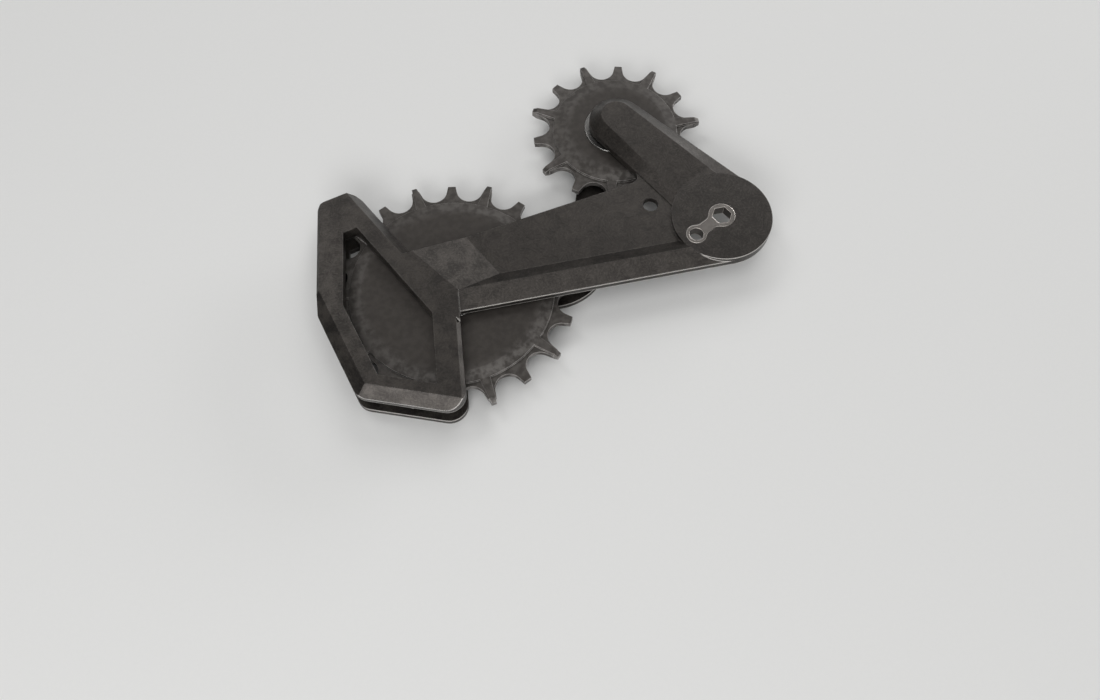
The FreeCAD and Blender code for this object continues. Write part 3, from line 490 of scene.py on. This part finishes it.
def moulded_polymer(settings, centre, tip):
    """Moulded wheel: cloudy grain, the sloped rim painted paler as a highlight, and the edges of the teeth paler
    from the chain's rubbing and a painted highlight.
    """
    finish = Finish("moulded_polymer", satin(settings.sheen))
    place = finish.place()
    radius = finish.radius_from(place, centre)
    edge = tip - settings.tooth_height
    rim = radius.clear_of(edge - settings.rim_slope * RIM_START, edge - settings.rim_slope * RIM_END)
    teeth = radius.clear_of(edge, tip)
    grain = finish.noise(place, settings.grain_size, GRAIN_DETAIL)
    clouds = finish.noise(place, settings.cloud_size, WHEEL_CLOUD_DETAIL).clear_of(*WHEEL_CLOUD_BAND)
    rounded = finish.rounded(settings.edge_radius)
    # Painted highlight: the sloped rim in clouds, most where it faces the front lamp, and the teeth's edges that
    # face it; the rest of the teeth's pale edges is chain rubbing
    facing_highlight = finish.facing(rounded, WHEEL_HIGHLIGHT_WAY).clear_of(*WHEEL_HIGHLIGHT_BAND)
    rim_highlight = rim * (RIM_HIGHLIGHT + clouds * (RIM_CLOUD_HIGHLIGHT + facing_highlight * RIM_FRONT_HIGHLIGHT))
    tooth_wear_and_highlight = TOOTH_WEAR + grain * GRAIN_WEAR + facing_highlight * TOOTH_FRONT_HIGHLIGHT
    wheel_wear_and_highlight = rim_highlight + finish.edge(rounded, *WHEEL_EDGE_BAND) * tooth_wear_and_highlight
    patches = finish.mix(clouds * CLOUD_PALE + grain * GRAIN_PALE, solid(settings.body), solid(settings.pale))
    smoothing = teeth * TOOTH_SMOOTHING + wheel_wear_and_highlight * WEAR_SMOOTHING
    finish.feed(finish.shader, {
        "Base Color": finish.mix(wheel_wear_and_highlight, patches, solid(settings.rubbed_and_highlit)),
        "Roughness": settings.roughness + grain * GRAIN_ROUGHNESS - smoothing,
        "Coat Weight": wheel_wear_and_highlight,
        "Normal": finish.bump(grain + clouds * CLOUD_HEIGHT, settings.relief, WHEEL_BUMP, rounded),
    })
    return finish.material


def turned_metal(name, tint, roughness, settings, centre):
    """Turned metal: rings about its own axis, a little tarnish and edges painted bright as a highlight."""
    finish = Finish(name, {"Metallic": 1.0})
    place = finish.place()
    turns = finish.radius_from(place, centre) * (2 * pi / settings.groove_pitch)
    rings = turns.math("SINE", turns)
    tarnish = finish.noise(place, TARNISH_SIZE, TARNISH_DETAIL)
    grain = finish.noise(place, METAL_GRAIN_SIZE, COARSE_DETAIL)
    dullness = tarnish * TARNISH_DULL + grain * GRAIN_DULL - CLEAN_SHARE
    body = finish.mix(dullness, solid(tint), solid(times(tint, DULL_FACTOR)))
    rounded = finish.rounded(settings.edge_radius)
    # Painted highlight: the edges take a much brighter colour
    edge = finish.edge(rounded, *METAL_HIGHLIGHT_BAND)
    finish.feed(finish.shader, {
        "Base Color": finish.mix(edge, body, solid(times(tint, EDGE_HIGHLIGHT_FACTOR))),
        "Roughness": roughness + tarnish * TARNISH_ROUGHNESS + rings * RING_ROUGHNESS,
        "Normal": finish.bump(rings + grain, settings.groove_depth, METAL_BUMP, rounded),
    })
    return finish.material


def plain_polymer(name, tint, roughness, settings):
    """Moulded rubber or polymer with a fine grain."""
    finish = Finish(name, {})
    place = finish.place()
    grain = finish.noise(place, POLYMER_GRAIN_SIZE, GRAIN_DETAIL)
    clouds = finish.noise(place, POLYMER_CLOUD_SIZE, COARSE_DETAIL)
    tone = grain * POLYMER_MIX + clouds * POLYMER_MIX - POLYMER_DARK
    rounded = finish.rounded(settings.edge_radius)
    finish.feed(finish.shader, {
        "Base Color": finish.mix(tone, solid(tint), solid(times(tint, POLYMER_PALE))),
        "Roughness": roughness + grain * POLYMER_GRAIN_ROUGHNESS,
        "Normal": finish.bump(grain, POLYMER_RELIEF, POLYMER_BUMP, rounded),
    })
    return finish.material


def middle_of(box):
    """Middle of a box that is given by its low and high corners."""
    low, high = box
    return (Vector(low) + Vector(high)) / 2


def paint(node, material):
    """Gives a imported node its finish."""
    for slot in frame["nodes"][node].material_slots:
        slot.material = material


class CAGE_OT_plates(bpy.types.Operator):
    """Round the edges of both plates and give them the chopped carbon finish"""
    bl_idname = "cage.plates"
    bl_label = "Finish plates"

    def execute(self, context):
        material = chopped_carbon(context.scene.cage_plates)
        for node in PLATES:
            paint(node, material)
        return {"FINISHED"}


class CAGE_OT_wheels(bpy.types.Operator):
    """Round the edges of both chain wheels and give them the moulded finish"""
    bl_idname = "cage.wheels"
    bl_label = "Finish chain wheels"

    def execute(self, context):
        settings = context.scene.cage_wheels
        for wheel in WHEELS:
            node = f"{wheel}_pulley_wheel"
            low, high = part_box(node)
            tip = (high[0] - low[0]) / 2
            paint(node, moulded_polymer(settings, middle_of((low, high)), tip))
        return {"FINISHED"}


class CAGE_OT_pivot(bpy.types.Operator):
    """Round the edges of the pivot insert and give it a turned finish"""
    bl_idname = "cage.pivot"
    bl_label = "Finish pivot insert"

    def execute(self, context):
        settings = context.scene.cage_metal
        material = turned_metal("turned_insert", settings.insert, settings.insert_roughness, settings, PIVOT)
        paint("pivot_insert", material)
        return {"FINISHED"}


class CAGE_OT_axles(bpy.types.Operator):
    """Finish the bearings, sleeves, washers, bolts and threaded inserts of both axles"""
    bl_idname = "cage.axles"
    bl_label = "Finish axles"

    def execute(self, context):
        settings = context.scene.cage_metal
        rubber = plain_polymer("seal_rubber", settings.rubber, settings.rubber_roughness, settings)
        polymer = plain_polymer("ball_cage_polymer", settings.polymer, settings.polymer_roughness, settings)
        for wheel in WHEELS:
            finishes = {"seal_rubber": rubber, "ball_cage_polymer": polymer, **self.metals(wheel, settings)}
            for entry in frame["record"]["subparts"]:
                node = entry["node"]
                if node.startswith(f"{wheel}_") and entry["material_slot"] in finishes:
                    paint(node, finishes[entry["material_slot"]])
        return {"FINISHED"}

    def metals(self, wheel, settings):
        """Metal finishes of one axle, turned about that axle, by material slot."""
        centre = middle_of(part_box(f"{wheel}_axle_sleeve"))
        steel = turned_metal(f"{wheel}_ground_steel", settings.steel, settings.steel_roughness,
                             settings, centre)
        aluminium = turned_metal(f"{wheel}_turned_aluminium", settings.aluminium,
                                 settings.aluminium_roughness, settings, centre)
        bolt = turned_metal(f"{wheel}_black_bolt", settings.bolt, settings.bolt_roughness,
                            settings, centre)
        return {"bearing_steel": steel, "axle_aluminium": aluminium, "bolt_steel": bolt,
                "insert_metal": aluminium}


class CAGE_OT_stage(bpy.types.Operator):
    """Lay the floor, hang the lamps and set up the camera"""
    bl_idname = "cage.stage"
    bl_label = "Set stage"

    def execute(self, context):
        scene = context.scene
        settings = scene.cage_stage
        self.lay_floor(scene, settings)
        self.hang_lamps(scene, settings)
        self.light_sky(scene, settings)
        self.stand_camera(scene, settings)
        scene.view_settings.view_transform = "Standard"
        return {"FINISHED"}

    def lay_floor(self, scene, settings):
        """Wide floor under the lowest face of the part."""
        bottom = CAD_BOX[0][2]
        half = settings.floor_size / 2
        mesh = bpy.data.meshes.new("floor")
        corners = [(-half, -half, bottom), (half, -half, bottom), (half, half, bottom), (-half, half, bottom)]
        mesh.from_pydata(corners, [], [(0, 1, 2, 3)])
        finish = Finish("floor_paper", {"Roughness": FLOOR_ROUGHNESS, "Specular IOR Level": FLOOR_SPECULAR})
        grain = finish.noise(finish.place(), FLOOR_GRAIN_SIZE, COARSE_DETAIL)
        paler = times(settings.floor, FLOOR_GRAIN_PALE)
        finish.feed(finish.shader, {"Base Color": finish.mix(grain, solid(settings.floor), solid(paler))})
        mesh.materials.append(finish.material)
        floor = bpy.data.objects.new("floor", mesh)
        scene.collection.objects.link(floor)

    def hang_lamps(self, scene, settings):
        """Soft lamps overhead, behind, behind the left and right sides and in front."""
        middle = middle_of(CAD_BOX)
        for name, (offset, sides) in LAMPS.items():
            watts = getattr(settings, f"{name}_power")
            self.hang_lamp(scene, f"{name}_lamp", middle, Vector(offset), sides, watts)

    def hang_lamp(self, scene, name, middle, offset, sides, watts):
        """Area lamp that faces the middle of the part."""
        lamp = bpy.data.lights.new(name, "AREA")
        lamp.shape = "RECTANGLE"
        lamp.size, lamp.size_y = sides
        lamp.energy = watts
        holder = bpy.data.objects.new(name, lamp)
        holder.location = middle + offset
        holder.rotation_euler = (-offset).to_track_quat("-Z", "Y").to_euler()
        scene.collection.objects.link(holder)

    def light_sky(self, scene, settings):
        """Even light from all round."""
        world = bpy.data.worlds.new("sky")
        world.use_nodes = True
        backdrop = world.node_tree.nodes["Background"]
        backdrop.inputs["Color"].default_value = (1.0, 1.0, 1.0, 1.0)
        backdrop.inputs["Strength"].default_value = settings.sky
        scene.world = world

    def stand_camera(self, scene, settings):
        """Camera at the angle and distance of the picture."""
        camera = bpy.data.cameras.new("camera")
        camera.lens = settings.camera_lens
        camera.clip_start = CLIP_START
        holder = bpy.data.objects.new("camera", camera)
        holder.location = settings.camera_place
        holder.rotation_euler = settings.camera_turn
        scene.collection.objects.link(holder)
        scene.camera = holder


SETTINGS = {
    "cage_plates": CagePlateSettings,
    "cage_wheels": CageWheelSettings,
    "cage_metal": CageMetalSettings,
    "cage_stage": CageStageSettings,
}
OPERATORS = (CAGE_OT_plates, CAGE_OT_wheels, CAGE_OT_pivot, CAGE_OT_axles, CAGE_OT_stage)


class CAGE_PT_sidebar(bpy.types.Panel):
    """Steps that finish the cage, in order"""
    bl_idname = "CAGE_PT_sidebar"
    bl_label = "Derailleur cage"
    bl_space_type = "VIEW_3D"
    bl_region_type = "UI"
    bl_category = "Cage"

    def draw(self, context):
        for operator in OPERATORS:
            self.layout.operator(operator.bl_idname)
        for name, group in SETTINGS.items():
            box = self.layout.box()
            for prop in group.__annotations__:
                box.prop(getattr(context.scene, name), prop)


CLASSES = (*SETTINGS.values(), *OPERATORS, CAGE_PT_sidebar)


def register():
    """Adds the classes and their settings to the session."""
    for item in CLASSES:
        bpy.utils.register_class(item)
    for name, group in SETTINGS.items():
        setattr(bpy.types.Scene, name, bpy.props.PointerProperty(type=group))


def unregister():
    """Takes the classes and their settings out of the session."""
    for name in SETTINGS:
        delattr(bpy.types.Scene, name)
    for item in reversed(CLASSES):
        bpy.utils.unregister_class(item)


def main():
    """Finishes the whole part and sets its stage."""
    register()
    bpy.ops.cage.plates()
    bpy.ops.cage.wheels()
    bpy.ops.cage.pivot()
    bpy.ops.cage.axles()
    bpy.ops.cage.stage()


if __name__ == "__main__":
    main()
